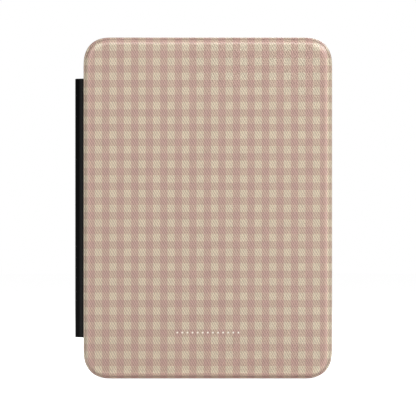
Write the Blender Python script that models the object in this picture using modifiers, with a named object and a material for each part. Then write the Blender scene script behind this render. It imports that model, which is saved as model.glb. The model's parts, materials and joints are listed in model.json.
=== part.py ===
"""A 7-inch e-reader in a folio case, as an assembly of separate parts.

Units are metres. The parts are modelled with the reader lying on its back: the screen faces +Z, the
reader's top edge faces +Y, its port edge faces -Y, and the strap that hinges the cover is on the -X
side. The last step stands the whole case up on its port edge, so in the finished assembly +Z is up
the reader's long side and the cover faces -Y. The origin is the centre of the case's flat back face.
"""

import math

import bmesh
import bpy

MM = 0.001

# Driving dimensions: the reader, and how the case fits round it.
READER_WIDTH = 127.6 * MM
READER_LENGTH = 176.7 * MM
READER_THICKNESS = 7.8 * MM
CASE_MARGIN = 2.1 * MM  # from the reader's side to the cover's side
COVER_THICKNESS = 4.2 * MM
COVER_CORNER = 15.4 * MM  # how far a corner's curve reaches along each side
CORNER_POWER = 2.5  # superellipse exponent of the corners; 2 is a circle
CORNER_STEPS = 7
STRAP_LENGTH = 137.4 * MM
STRAP_THICKNESS = 0.8 * MM
STRAP_REACH = 4.3 * MM  # how far the strap stands out beyond the cover
STRAP_EDGE = 0.15 * MM  # bevel of the strap's edges
FLAP_WIDTH = 14.8 * MM  # the glued part at each end of the strap
GLUE_GAP = 0.1 * MM
FIT_GAP = 0.25 * MM

# The case, from the back face up.
COVER_WIDTH = READER_WIDTH + 2 * CASE_MARGIN
COVER_LENGTH = READER_LENGTH + 2 * CASE_MARGIN
TRAY_SETBACK = 0.3 * MM  # the tray's side lies this far inside the cover's
TRAY_BACK = 1.6 * MM
TRAY_WALL = CASE_MARGIN - TRAY_SETBACK - FIT_GAP
TRAY_LINING = 0.4 * MM
LIP_THICKNESS = 0.8 * MM
LIP_OVERLAP = 1.0 * MM  # how far the lip reaches over the reader's edge
READER_BACK = TRAY_BACK + TRAY_LINING + 2 * GLUE_GAP
READER_FRONT = READER_BACK + READER_THICKNESS
LIP_BOTTOM = READER_FRONT + GLUE_GAP
LIP_TOP = LIP_BOTTOM + LIP_THICKNESS
COVER_BOTTOM = LIP_TOP + 0.2 * MM
COVER_TOP = COVER_BOTTOM + COVER_THICKNESS

# The cover's layers.
COVER_ROUND = 3.6 * MM  # radius of the cover's front edge
SKIN_THICKNESS = 0.8 * MM
SKIN_SIDE = 1.0 * MM
HEM_WIDTH = 7.0 * MM
HEM_THICKNESS = 0.7 * MM
BOARD_BOTTOM = COVER_BOTTOM + 0.8 * MM
BOARD_THICKNESS = 1.5 * MM
FOAM_THICKNESS = 0.9 * MM
LINING_BOTTOM = COVER_BOTTOM - 0.3 * MM
LINING_THICKNESS = 0.9 * MM
MAGNET_THICKNESS = 1.3 * MM

# The strap's folds, seen along Y: it leaves the tray, turns up in three sections and meets the cover.
FOLD_X = -COVER_WIDTH / 2 - 0.3 * MM
FOLD_LOW_Z = STRAP_THICKNESS / 2
FOLD_HIGH_Z = COVER_BOTTOM - GLUE_GAP - STRAP_THICKNESS / 2
SPINE_X = -COVER_WIDTH / 2 - STRAP_REACH + STRAP_THICKNESS / 2
SLOPE_RUN = FOLD_X - SPINE_X  # the sloping sections stand at 45 degrees
TRAY_FOLD = (FOLD_X, FOLD_LOW_Z)
LOWER_FOLD = (SPINE_X, FOLD_LOW_Z + SLOPE_RUN)
UPPER_FOLD = (SPINE_X, FOLD_HIGH_Z - SLOPE_RUN)
COVER_FOLD = (FOLD_X, FOLD_HIGH_Z)

# The reader's shells, measured from its back.
READER_CORNER = COVER_CORNER - CASE_MARGIN
HOUSING_WALL = 1.3 * MM
HOUSING_FLOOR = READER_BACK + 1.1 * MM
HOUSING_ROUND = 3.0 * MM
HOUSING_TOP = READER_BACK + 6.0 * MM
FRAME_SKIRT_INSET = 1.5 * MM
FRAME_INNER_INSET = 2.6 * MM
FRAME_LEDGE_INSET = 6.2 * MM
FRAME_BOTTOM = READER_BACK + 4.7 * MM
LEDGE_TOP = FRAME_BOTTOM + 0.8 * MM
LENS_SEAT = READER_FRONT - 1.0 * MM
SCREEN_WIDTH = 106.7 * MM
SCREEN_LENGTH = 142.2 * MM
SCREEN_CENTRE_Y = 6.25 * MM
PANEL_WIDTH = 114.4 * MM
PANEL_LOW_Y = -72.0 * MM
PANEL_HIGH_Y = 81.2 * MM
PANEL_THICKNESS = 0.8 * MM
TOUCH_SIZE = (122.0 * MM, 171.0 * MM, READER_CORNER - FRAME_INNER_INSET)
TOUCH_THICKNESS = 0.2 * MM
GUIDE_THICKNESS = 0.5 * MM

# The parts on the port edge share one height.
PORT_Z = READER_BACK + 3.7 * MM
PORT_EDGE_Y = -READER_LENGTH / 2
BUTTON_X = 24.0 * MM
BUTTON_WIDTH = 10.0 * MM
BUTTON_HEIGHT = 2.4 * MM
LIGHT_PIPE_X = 12.0 * MM
PORT_WIDTH = 8.94 * MM
PORT_HEIGHT = 3.26 * MM
PORT_DEPTH = 7.3 * MM

# Electronics.
CHASSIS_BOTTOM = READER_BACK + 3.8 * MM
CHASSIS_TOP = CHASSIS_BOTTOM + 0.8 * MM
CHASSIS_LOW_Y = -79.0 * MM
BOARD_LOW = READER_BACK + 1.8 * MM
BOARD_HIGH = BOARD_LOW + 0.8 * MM
CHIP_BASE = BOARD_HIGH + GLUE_GAP
BOSS_X = 59.8 * MM
BOSS_YS = (-70 * MM, -25 * MM, 25 * MM, 70 * MM)
STANDOFF_SPOTS = [(x * MM, y * MM) for x in (-49, 49) for y in (-74, -56)]
MAGNET_X = 59.4 * MM
MAGNET_YS = (("lower", -47.0 * MM), ("upper", 47.0 * MM))
HALL_SPOT = (40.0 * MM, -64.0 * MM)
THROUGH = 1.0 * MM  # how far a cutter reaches past the piece it cuts

# Colour, roughness and metallic value of each kind of material.
FINISHES = {
    "check_leather": ((0.53, 0.36, 0.29), 0.55, 0.0),
    "black_leather": ((0.01, 0.01, 0.01), 0.5, 0.0),
    "microfibre": ((0.05, 0.045, 0.045), 0.95, 0.0),
    "greyboard": ((0.32, 0.3, 0.27), 0.9, 0.0),
    "foam": ((0.6, 0.6, 0.58), 0.95, 0.0),
    "black_shell": ((0.012, 0.012, 0.013), 0.45, 0.0),
    "reader_plastic": ((0.018, 0.018, 0.02), 0.6, 0.0),
    "bezel_black": ((0.006, 0.006, 0.007), 0.35, 0.0),
    "clear": ((0.9, 0.92, 0.92), 0.08, 0.0),
    "paper_white": ((0.62, 0.62, 0.58), 0.8, 0.0),
    "steel": ((0.55, 0.55, 0.56), 0.35, 1.0),
    "magnesium": ((0.42, 0.43, 0.44), 0.5, 1.0),
    "magnet": ((0.4, 0.4, 0.42), 0.25, 1.0),
    "battery_wrap": ((0.03, 0.03, 0.035), 0.4, 0.0),
    "board_green": ((0.01, 0.09, 0.05), 0.45, 0.0),
    "chip_black": ((0.02, 0.02, 0.02), 0.5, 0.0),
    "flex_amber": ((0.45, 0.2, 0.04), 0.35, 0.0),
    "seal_rubber": ((0.02, 0.02, 0.02), 0.85, 0.0),
    "tape_white": ((0.7, 0.7, 0.68), 0.6, 0.0),
}

parts = bpy.data.collections.new("e_reader_folio")
cutters = bpy.data.collections.new("cutters")


def clear_scene():
    for obj in list(bpy.data.objects):
        bpy.data.objects.remove(obj)
    for collection in (parts, cutters):
        bpy.context.scene.collection.children.link(collection)


def new_object(name, mesh, collection=None):
    obj = bpy.data.objects.new(name, mesh)
    (collection or parts).objects.link(obj)
    return obj


def finish(obj, kind):
    """Gives a part its own material, and shades its round faces smooth."""
    colour, roughness, metallic = FINISHES[kind]
    material = bpy.data.materials.new(f"{obj.name}_{kind}")
    material.use_nodes = True
    shader = material.node_tree.nodes["Principled BSDF"]
    shader.inputs["Base Color"].default_value = (*colour, 1.0)
    shader.inputs["Roughness"].default_value = roughness
    shader.inputs["Metallic"].default_value = metallic
    obj.data.materials.clear()
    obj.data.materials.append(material)
    obj.data.shade_smooth()
    obj.data.set_sharp_from_angle(angle=math.radians(35))
    return obj


def boolean(target, tool, operation="DIFFERENCE"):
    """Cuts a helper from a part, or joins it on. The helper follows the part and isn't rendered."""
    hang(tool, target)
    modifier = target.modifiers.new(tool.name, "BOOLEAN")
    modifier.operation = operation
    modifier.object = tool
    tool.hide_render = True
    tool.display_type = "WIRE"
    return target


def outline(width, length, corner, steps=CORNER_STEPS, centre=(0.0, 0.0), power=CORNER_POWER):
    """Corner points of a rounded rectangle, counter-clockwise, with superellipse corners."""
    reach_x, reach_y = width / 2 - corner, length / 2 - corner
    points = []
    for side_x, side_y, swap in ((1, 1, False), (-1, 1, True), (-1, -1, False), (1, -1, True)):
        for step in range(steps + 1):
            angle = math.pi / 2 * step / steps
            along = corner * math.cos(angle) ** (2 / power)
            across = corner * math.sin(angle) ** (2 / power)
            dx, dy = (across, along) if swap else (along, across)
            points.append((centre[0] + side_x * (reach_x + dx), centre[1] + side_y * (reach_y + dy)))
    return points


def inset_size(size, inset):
    """The width, length and corner of an outline that lies a distance inside another."""
    width, length, corner = size
    return (width - 2 * inset, length - 2 * inset, corner - inset)


def arc(centre_inset, centre_z, radius, start, end, steps=4):
    """Profile points (inset, z) on an arc. Angles are in degrees from straight outwards."""
    return [
        (
            centre_inset - radius * math.cos(math.radians(start + (end - start) * step / steps)),
            centre_z + radius * math.sin(math.radians(start + (end - start) * step / steps)),
        )
        for step in range(steps + 1)
    ]


def lofted(name, size, profile, ring=False, centre=(0.0, 0.0), collection=None):
    """A solid skinned over one outline per profile point (inset, z), from outside to inside.

    The first and last outlines are capped, or joined to each other when ring is true.
    """
    shape = bmesh.new()
    loops = []
    for inset, z in profile:
        loop = outline(*inset_size(size, inset), centre=centre)
        loops.append([shape.verts.new((x, y, z)) for x, y in loop])
    pairs = list(zip(loops, loops[1:]))
    if ring:
        pairs.append((loops[-1], loops[0]))
    else:
        shape.faces.new(loops[0])
        shape.faces.new(loops[-1])
    for low, high in pairs:
        for i, vert in enumerate(low):
            j = (i + 1) % len(low)
            shape.faces.new((vert, low[j], high[j], high[i]))
    bmesh.ops.recalc_face_normals(shape, faces=shape.faces)
    mesh = bpy.data.meshes.new(name)
    shape.to_mesh(mesh)
    shape.free()
    return new_object(name, mesh, collection)


def plate(name, size, low, high, edge=0.0, centre=(0.0, 0.0), collection=None):
    """A flat piece with rounded corners; edge is a small chamfer on its upper rim."""
    profile = [(0.0, low), (0.0, high - edge), (edge, high)] if edge else [(0.0, low), (0.0, high)]
    return lofted(name, size, profile, centre=centre, collection=collection)


def block(name, low, high, bevel=0.0, collection=None):
    """A box between two corners, with an optional rounded edge."""
    shape = bmesh.new()
    bmesh.ops.create_cube(shape, size=1.0)
    for vert in shape.verts:
        vert.co = [low[k] if vert.co[k] < 0 else high[k] for k in range(3)]
    mesh = bpy.data.meshes.new(name)
    shape.to_mesh(mesh)
    shape.free()
    obj = new_object(name, mesh, collection)
    if bevel:
        modifier = obj.modifiers.new("rounded edges", "BEVEL")
        modifier.width = bevel
        modifier.segments = 2
    return obj


def cutting_block(name, low, high):
    return block(name, low, high, collection=cutters)


def rod(name, radius, start, end, steps=12, collection=None):
    """A cylinder between two points that share two coordinates."""
    shape = bmesh.new()
    axis = max(range(3), key=lambda k: abs(end[k] - start[k]))
    length = end[axis] - start[axis]
    bmesh.ops.create_cone(
        shape, cap_ends=True, segments=steps, radius1=radius, radius2=radius, depth=abs(length)
    )
    mesh = bpy.data.meshes.new(name)
    shape.to_mesh(mesh)
    shape.free()
    obj = new_object(name, mesh, collection)
    obj.location = [(a + b) / 2 for a, b in zip(start, end)]
    if axis == 0:
        obj.rotation_euler = (0.0, math.pi / 2, 0.0)
    elif axis == 1:
        obj.rotation_euler = (math.pi / 2, 0.0, 0.0)
    return obj


def pill(name, width, height, low_y, high_y, x, z=PORT_Z, collection=None):
    """A bar with half-round ends, seen along Y, at a place on the port edge."""
    curve = bpy.data.curves.new(name, "CURVE")
    curve.dimensions = "2D"
    curve.fill_mode = "BOTH"
    curve.extrude = (high_y - low_y) / 2
    points = outline(width, height, height / 2, steps=5, power=2.0)
    spline = curve.splines.new("POLY")
    spline.points.add(len(points) - 1)
    for point, (px, py) in zip(spline.points, points):
        point.co = (px, py, 0.0, 1.0)
    spline.use_cyclic_u = True
    outline_object = new_object(name + "_outline", curve, cutters)
    outline_object.location = (x, (low_y + high_y) / 2, z)
    outline_object.rotation_euler = (math.pi / 2, 0.0, 0.0)
    bpy.context.view_layer.update()
    return as_mesh(outline_object, name, collection)


def as_mesh(curve_object, name, collection=None):
    """Turns a curve object into a closed mesh object in the same place."""
    graph = bpy.context.evaluated_depsgraph_get()
    mesh = bpy.data.meshes.new_from_object(curve_object.evaluated_get(graph))
    shape = bmesh.new()
    shape.from_mesh(mesh)
    bmesh.ops.remove_doubles(shape, verts=shape.verts, dist=0.001 * MM)
    bmesh.ops.recalc_face_normals(shape, faces=shape.faces)
    shape.to_mesh(mesh)
    shape.free()
    place = curve_object.matrix_world.copy()
    bpy.data.objects.remove(curve_object)
    mesh.name = name
    obj = new_object(name, mesh, collection)
    obj.matrix_world = place
    return obj


def ribbon(name, path, low_x, high_x, thickness):
    """A flat cable of even thickness that follows (y, z) points and runs across X."""
    shape = bmesh.new()
    rows = [[shape.verts.new((x, y, z)) for x in (low_x, high_x)] for y, z in path]
    for (a, b), (d, c) in zip(rows, rows[1:]):
        shape.faces.new((a, b, c, d))
    mesh = bpy.data.meshes.new(name)
    shape.to_mesh(mesh)
    shape.free()
    obj = new_object(name, mesh)
    modifier = obj.modifiers.new("thickness", "SOLIDIFY")
    modifier.thickness = thickness
    modifier.offset = 0.0
    modifier.use_even_offset = True
    return obj


def pivot(name, place, parent=None):
    """An empty that parts hang from. On a fold, turning it about its Y axis folds the strap."""
    empty = new_object(name, None)
    empty.empty_display_size = 5 * MM
    empty.location = place
    if parent is not None:
        hang(empty, parent)
    return empty


def fold_place(fold):
    return (fold[0], 0.0, fold[1])


def hang(obj, parent):
    """Parents an object and keeps it where it is."""
    bpy.context.view_layer.update()
    obj.parent = parent
    obj.matrix_parent_inverse = parent.matrix_world.inverted()


def cover_parts():
    """The front panel: printed skin turned over a board, foam, lining, magnets and strap flap."""
    size = (COVER_WIDTH, COVER_LENGTH, COVER_CORNER)
    ceiling = COVER_TOP - SKIN_THICKNESS
    inner_round = COVER_ROUND - SKIN_SIDE
    low_edge = 0.5 * MM
    profile = arc(COVER_ROUND, COVER_TOP - COVER_ROUND, COVER_ROUND, 90, 0, steps=5)
    profile += arc(low_edge, COVER_BOTTOM + low_edge, low_edge, 0, -90, steps=2)
    profile += [(HEM_WIDTH, COVER_BOTTOM), (HEM_WIDTH, COVER_BOTTOM + HEM_THICKNESS)]
    profile += [(SKIN_SIDE, COVER_BOTTOM + HEM_THICKNESS)]
    profile += arc(SKIN_SIDE + inner_round, ceiling - inner_round, inner_round, 0, 90, steps=4)
    skin = finish(lofted("cover_skin", size, profile), "check_leather")

    board_inset, foam_inset, lining_inset = 1.8 * MM, 3.4 * MM, HEM_WIDTH + FIT_GAP
    board_top = BOARD_BOTTOM + BOARD_THICKNESS
    board = plate("cover_board", inset_size(size, board_inset), BOARD_BOTTOM, board_top)
    finish(board, "greyboard")

    foam_bottom = board_top + GLUE_GAP
    foam_top = foam_bottom + FOAM_THICKNESS
    foam = finish(plate("cover_foam", inset_size(size, foam_inset), foam_bottom, foam_top), "foam")

    lining_top = LINING_BOTTOM + LINING_THICKNESS
    lining = plate("cover_lining", inset_size(size, lining_inset), LINING_BOTTOM, lining_top)
    finish(lining, "microfibre")
    notch_reach = FLAP_WIDTH + 2 * FIT_GAP
    notch_half = STRAP_LENGTH / 2 + FIT_GAP
    boolean(
        lining,
        cutting_block(
            "flap_notch_in_lining",
            (-COVER_WIDTH / 2, -notch_half, LINING_BOTTOM - THROUGH),
            (FOLD_X + notch_reach, notch_half, COVER_TOP),
        ),
    )

    flap = block(
        "strap_front_flap",
        (FOLD_X + FIT_GAP, -STRAP_LENGTH / 2, FOLD_HIGH_Z - STRAP_THICKNESS / 2),
        (FOLD_X + FLAP_WIDTH, STRAP_LENGTH / 2, FOLD_HIGH_Z + STRAP_THICKNESS / 2),
        bevel=STRAP_EDGE,
    )
    finish(flap, "black_leather")

    pieces = [skin, board, foam, lining, flap]
    magnet_low = BOARD_BOTTOM + GLUE_GAP
    magnet_high = magnet_low + MAGNET_THICKNESS
    cut_low, cut_high = BOARD_BOTTOM - THROUGH, board_top + THROUGH
    half_width, half_length, magnet_edge = 2.0 * MM, 8.0 * MM, 0.2 * MM
    for label, y in MAGNET_YS:
        low = (MAGNET_X - half_width, y - half_length, magnet_low)
        high = (MAGNET_X + half_width, y + half_length, magnet_high)
        pieces.append(finish(block(f"cover_magnet_{label}", low, high, magnet_edge), "magnet"))
        pocket_low = (low[0] - FIT_GAP, low[1] - FIT_GAP, cut_low)
        pocket_high = (high[0] + FIT_GAP, high[1] + FIT_GAP, cut_high)
        boolean(board, cutting_block(f"magnet_pocket_{label}", pocket_low, pocket_high))
    radius, sides = 4.0 * MM, 20
    x, y = HALL_SPOT
    wake = rod("wake_magnet", radius, (x, y, magnet_low), (x, y, magnet_high), sides)
    pieces.append(finish(wake, "magnet"))
    pocket_radius, pocket_end = radius + FIT_GAP, (x, y, cut_high)
    pocket = rod("wake_magnet_pocket", pocket_radius, (x, y, cut_low), pocket_end, sides, cutters)
    boolean(board, pocket)
    return pieces


def strap_section(name, start, end):
    """One flat section of the strap between two fold lines, cut back so that it can turn."""
    run, rise = end[0] - start[0], end[1] - start[1]
    length = math.hypot(run, rise)
    half = STRAP_THICKNESS / 2
    section = block(
        name,
        (FIT_GAP, -STRAP_LENGTH / 2, -half),
        (length - FIT_GAP, STRAP_LENGTH / 2, half),
        bevel=STRAP_EDGE,
    )
    section.location = (start[0], 0.0, start[1])
    section.rotation_euler = (0.0, -math.atan2(rise, run), 0.0)
    return finish(section, "black_leather")


def tray_parts():
    """The back shell that grips the reader, its lining, and the strap's rear flap."""
    size = inset_size((COVER_WIDTH, COVER_LENGTH, COVER_CORNER), TRAY_SETBACK)
    back_round, floor_round, lip_round = 2.0 * MM, 1.6 * MM, 0.3 * MM
    lip_inset = TRAY_WALL + FIT_GAP + LIP_OVERLAP
    profile = arc(back_round, back_round, back_round, -90, 0)
    profile += arc(lip_round, LIP_TOP - lip_round, lip_round, 0, 90, steps=2)
    profile += [(lip_inset, LIP_TOP), (lip_inset, LIP_BOTTOM), (TRAY_WALL, LIP_BOTTOM)]
    profile += arc(TRAY_WALL + floor_round, TRAY_BACK + floor_round, floor_round, 0, -90, steps=3)
    shell = finish(lofted("tray_shell", size, profile), "black_shell")

    notch_half = STRAP_LENGTH / 2 + 2 * FIT_GAP
    boolean(
        shell,
        cutting_block(
            "flap_notch_in_lip",
            (-COVER_WIDTH, -notch_half, READER_FRONT),
            (-READER_WIDTH / 2 + 2 * LIP_OVERLAP, notch_half, COVER_TOP),
        ),
    )
    boolean(
        shell,
        cutting_block(
            "rear_flap_recess",
            (-COVER_WIDTH, -STRAP_LENGTH / 2 - FIT_GAP, -THROUGH),
            (FOLD_X + FLAP_WIDTH + FIT_GAP, STRAP_LENGTH / 2 + FIT_GAP, STRAP_THICKNESS + GLUE_GAP),
        ),
    )
    window_left, window_right = -PORT_WIDTH / 2 - 3.5 * MM, BUTTON_X + 7.0 * MM
    window_low, window_high = READER_BACK + 0.2 * MM, READER_FRONT - 0.6 * MM
    boolean(
        shell,
        cutting_block(
            "port_window",
            (window_left, -COVER_LENGTH, window_low),
            (window_right, PORT_EDGE_Y + THROUGH, window_high),
        ),
    )

    lining_size = inset_size(size, TRAY_WALL + FIT_GAP + HOUSING_ROUND)
    lining_low = TRAY_BACK + GLUE_GAP
    lining = plate("tray_lining", lining_size, lining_low, lining_low + TRAY_LINING)

    flap = block(
        "strap_rear_flap",
        (FOLD_X + FIT_GAP, -STRAP_LENGTH / 2, 0.0),
        (FOLD_X + FLAP_WIDTH, STRAP_LENGTH / 2, STRAP_THICKNESS),
        bevel=STRAP_EDGE,
    )
    return [shell, finish(lining, "microfibre"), finish(flap, "black_leather")]


def housing():
    """The reader's rear housing, with screw bosses and the openings on its port edge."""
    size = (READER_WIDTH, READER_LENGTH, READER_CORNER)
    floor_round = 0.8 * MM
    profile = arc(HOUSING_ROUND, READER_BACK + HOUSING_ROUND, HOUSING_ROUND, -90, 0)
    profile += [(0.0, HOUSING_TOP), (HOUSING_WALL, HOUSING_TOP)]
    profile += arc(HOUSING_WALL + floor_round, HOUSING_FLOOR + floor_round, floor_round, 0, -90, steps=3)
    shell = finish(lofted("rear_housing", size, profile), "reader_plastic")
    boss_radius, hole_radius, pipe_radius = 1.7 * MM, 0.85 * MM, 0.8 * MM
    boss_low, boss_top = HOUSING_FLOOR - 0.4 * MM, CHASSIS_BOTTOM - GLUE_GAP
    hole_low = HOUSING_FLOOR + 0.5 * MM
    for index, (x, y) in enumerate(boss_spots(), start=1):
        boss_start = (x, y, boss_low)
        boss = rod(f"boss_{index}", boss_radius, boss_start, (x, y, boss_top), collection=cutters)
        boolean(shell, boss, "UNION")
        hole_start = (x, y, hole_low)
        hole = rod(f"boss_hole_{index}", hole_radius, hole_start, (x, y, COVER_TOP), collection=cutters)
        boolean(shell, hole)
    slack = 0.4 * MM
    wall_out, wall_in = PORT_EDGE_Y - THROUGH, PORT_EDGE_Y + HOUSING_WALL + slack
    openings = (
        ("port_hole", PORT_WIDTH + slack, PORT_HEIGHT + slack, 0.0),
        ("button_hole", BUTTON_WIDTH + slack, BUTTON_HEIGHT + slack, BUTTON_X),
    )
    for name, width, height, x in openings:
        boolean(shell, pill(name, width, height, wall_out, wall_in, x, collection=cutters))
    pipe_hole = rod(
        "light_pipe_hole",
        pipe_radius,
        (LIGHT_PIPE_X, wall_out, PORT_Z),
        (LIGHT_PIPE_X, wall_in, PORT_Z),
        collection=cutters,
    )
    return boolean(shell, pipe_hole)


def boss_spots():
    return [(side * BOSS_X, y) for side in (-1, 1) for y in BOSS_YS]


def front_frame():
    """The reader's front frame: a rim round the lens, a skirt inside the housing and a screw ledge."""
    size = (READER_WIDTH, READER_LENGTH, READER_CORNER)
    rim_round = 0.4 * MM
    rim_bottom = HOUSING_TOP + GLUE_GAP
    profile = [(0.0, rim_bottom)]
    profile += arc(rim_round, READER_FRONT - rim_round, rim_round, 0, 90, steps=2)
    profile += [
        (HOUSING_WALL, READER_FRONT),
        (HOUSING_WALL, LENS_SEAT),
        (FRAME_INNER_INSET, LENS_SEAT),
        (FRAME_INNER_INSET, LEDGE_TOP),
        (FRAME_LEDGE_INSET, LEDGE_TOP),
        (FRAME_LEDGE_INSET, FRAME_BOTTOM),
        (FRAME_SKIRT_INSET, FRAME_BOTTOM),
        (FRAME_SKIRT_INSET, rim_bottom),
    ]
    frame = finish(lofted("front_frame", size, profile, ring=True), "reader_plastic")
    pocket_half, pocket_top = PANEL_WIDTH / 2 + FIT_GAP, LENS_SEAT - 0.5 * MM
    pocket = cutting_block(
        "panel_pocket",
        (-pocket_half, PANEL_LOW_Y - FIT_GAP, CHASSIS_BOTTOM),
        (pocket_half, PANEL_HIGH_Y + FIT_GAP, pocket_top),
    )
    boolean(frame, pocket)
    hole_radius = 0.95 * MM
    for index, (x, y) in enumerate(boss_spots(), start=1):
        start, end = (x, y, CHASSIS_BOTTOM), (x, y, LENS_SEAT)
        boolean(frame, rod(f"frame_hole_{index}", hole_radius, start, end, collection=cutters))
    notch_out, notch_in = FRAME_SKIRT_INSET - 0.5 * MM, FRAME_LEDGE_INSET + 2 * MM
    notch_top = rim_bottom - GLUE_GAP
    port_half, button_half = 5.4 * MM, 7.0 * MM
    for name, x, half in (("port_notch", 0.0, port_half), ("button_notch", BUTTON_X, button_half)):
        low = (x - half, PORT_EDGE_Y + notch_out, CHASSIS_BOTTOM)
        high = (x + half, PORT_EDGE_Y + notch_in, notch_top)
        boolean(frame, cutting_block(name, low, high))
    return frame


def display_parts():
    """The stack behind the reader's front, from the lens down to the foam pad."""
    lens_size = inset_size((READER_WIDTH, READER_LENGTH, READER_CORNER), HOUSING_WALL + GLUE_GAP)
    lens_low, lens_edge = LENS_SEAT + GLUE_GAP, 0.2 * MM
    lens = finish(plate("front_lens", lens_size, lens_low, READER_FRONT, lens_edge), "clear")

    film_gap = 0.02 * MM
    film = plate("bezel_film", lens_size, LENS_SEAT + film_gap, lens_low - film_gap)
    window = cutting_block(
        "screen_window",
        (-SCREEN_WIDTH / 2, SCREEN_CENTRE_Y - SCREEN_LENGTH / 2, READER_BACK),
        (SCREEN_WIDTH / 2, SCREEN_CENTRE_Y + SCREEN_LENGTH / 2, COVER_TOP),
    )
    finish(boolean(film, window), "bezel_black")

    adhesive = 0.05 * MM
    touch_top = LENS_SEAT - adhesive
    touch_low = touch_top - TOUCH_THICKNESS
    touch = plate("touch_film", TOUCH_SIZE, touch_low, touch_top)

    guide_top = touch_low - adhesive
    guide_low = guide_top - GUIDE_THICKNESS
    half = PANEL_WIDTH / 2
    guide = block("light_guide", (-half, PANEL_LOW_Y, guide_low), (half, PANEL_HIGH_Y, guide_top))
    panel_top = guide_low - GLUE_GAP
    panel_low = panel_top - PANEL_THICKNESS
    panel = block("epaper_panel", (-half, PANEL_LOW_Y, panel_low), (half, PANEL_HIGH_Y, panel_top))
    pad_half, pad_inset = half - 2 * MM, 1.5 * MM
    pad = block(
        "panel_foam",
        (-pad_half, PANEL_LOW_Y + pad_inset, CHASSIS_TOP + GLUE_GAP),
        (pad_half, PANEL_HIGH_Y - pad_inset, panel_low - GLUE_GAP),
    )

    strip = led_strip(guide_low, guide_top)
    low_leg, high_leg = CHASSIS_BOTTOM - 0.6 * MM, panel_low + 0.3 * MM
    start_y, fold_y, end_y = PANEL_LOW_Y - FIT_GAP, CHASSIS_LOW_Y - 0.7 * MM, -76.4 * MM
    left_x, right_x, thickness = 8.0 * MM, 38.0 * MM, 0.2 * MM
    path = [(start_y, high_leg), (fold_y, high_leg), (fold_y, low_leg), (end_y, low_leg)]
    flex = ribbon("display_flex", path, left_x, right_x, thickness)
    return [
        lens,
        film,
        finish(touch, "clear"),
        finish(guide, "clear"),
        finish(panel, "paper_white"),
        finish(pad, "foam"),
        strip,
        finish(flex, "flex_amber"),
    ]


def led_strip(low, high):
    """The front light: a flexible strip with a row of LEDs that face the light guide's lower edge."""
    count, pitch = 13, 8.4 * MM
    led_half, strip_low, strip_high, led_face = 1.5 * MM, -75.0 * MM, -73.6 * MM, -72.3 * MM
    half_length = (count * pitch) / 2
    points = [(-half_length, strip_low), (half_length, strip_low), (half_length, strip_high)]
    for index in reversed(range(count)):
        x = (index - (count - 1) / 2) * pitch
        points += [
            (x + led_half, strip_high),
            (x + led_half, led_face),
            (x - led_half, led_face),
            (x - led_half, strip_high),
        ]
    points.append((-half_length, strip_high))
    curve = bpy.data.curves.new("led_strip", "CURVE")
    curve.dimensions = "2D"
    curve.fill_mode = "BOTH"
    curve.extrude = (high - low) / 2
    spline = curve.splines.new("POLY")
    spline.points.add(len(points) - 1)
    for point, (x, y) in zip(spline.points, points):
        point.co = (x, y, 0.0, 1.0)
    spline.use_cyclic_u = True
    strip = new_object("led_strip_outline", curve, cutters)
    strip.location.z = (low + high) / 2
    bpy.context.view_layer.update()
    return finish(as_mesh(strip, "led_strip"), "flex_amber")


def chassis():
    """The metal plate that carries the display, the battery and the main board."""
    inner_width, _, corner = inset_size((READER_WIDTH, READER_LENGTH, READER_CORNER), FRAME_INNER_INSET)
    high_y = READER_LENGTH / 2 - FRAME_INNER_INSET
    size = (inner_width, high_y - CHASSIS_LOW_Y, corner)
    centre = (0.0, (high_y + CHASSIS_LOW_Y) / 2)
    metal = finish(plate("mid_chassis", size, CHASSIS_BOTTOM, CHASSIS_TOP, centre=centre), "magnesium")
    hole_radius, post_radius, bore_radius = 1.0 * MM, 1.6 * MM, 0.75 * MM
    for index, (x, y) in enumerate(boss_spots(), start=1):
        start, end = (x, y, CHASSIS_BOTTOM - THROUGH), (x, y, CHASSIS_TOP + THROUGH)
        boolean(metal, rod(f"chassis_hole_{index}", hole_radius, start, end, collection=cutters))
    post_top, bore_top = CHASSIS_BOTTOM + 0.4 * MM, CHASSIS_TOP - 0.2 * MM
    for index, (x, y) in enumerate(STANDOFF_SPOTS, start=1):
        start, end = (x, y, CHIP_BASE), (x, y, post_top)
        post = rod(f"standoff_{index}", post_radius, start, end, collection=cutters)
        boolean(metal, post, "UNION")
        start, end = (x, y, BOARD_LOW), (x, y, bore_top)
        boolean(metal, rod(f"standoff_bore_{index}", bore_radius, start, end, collection=cutters))
    return metal


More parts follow.
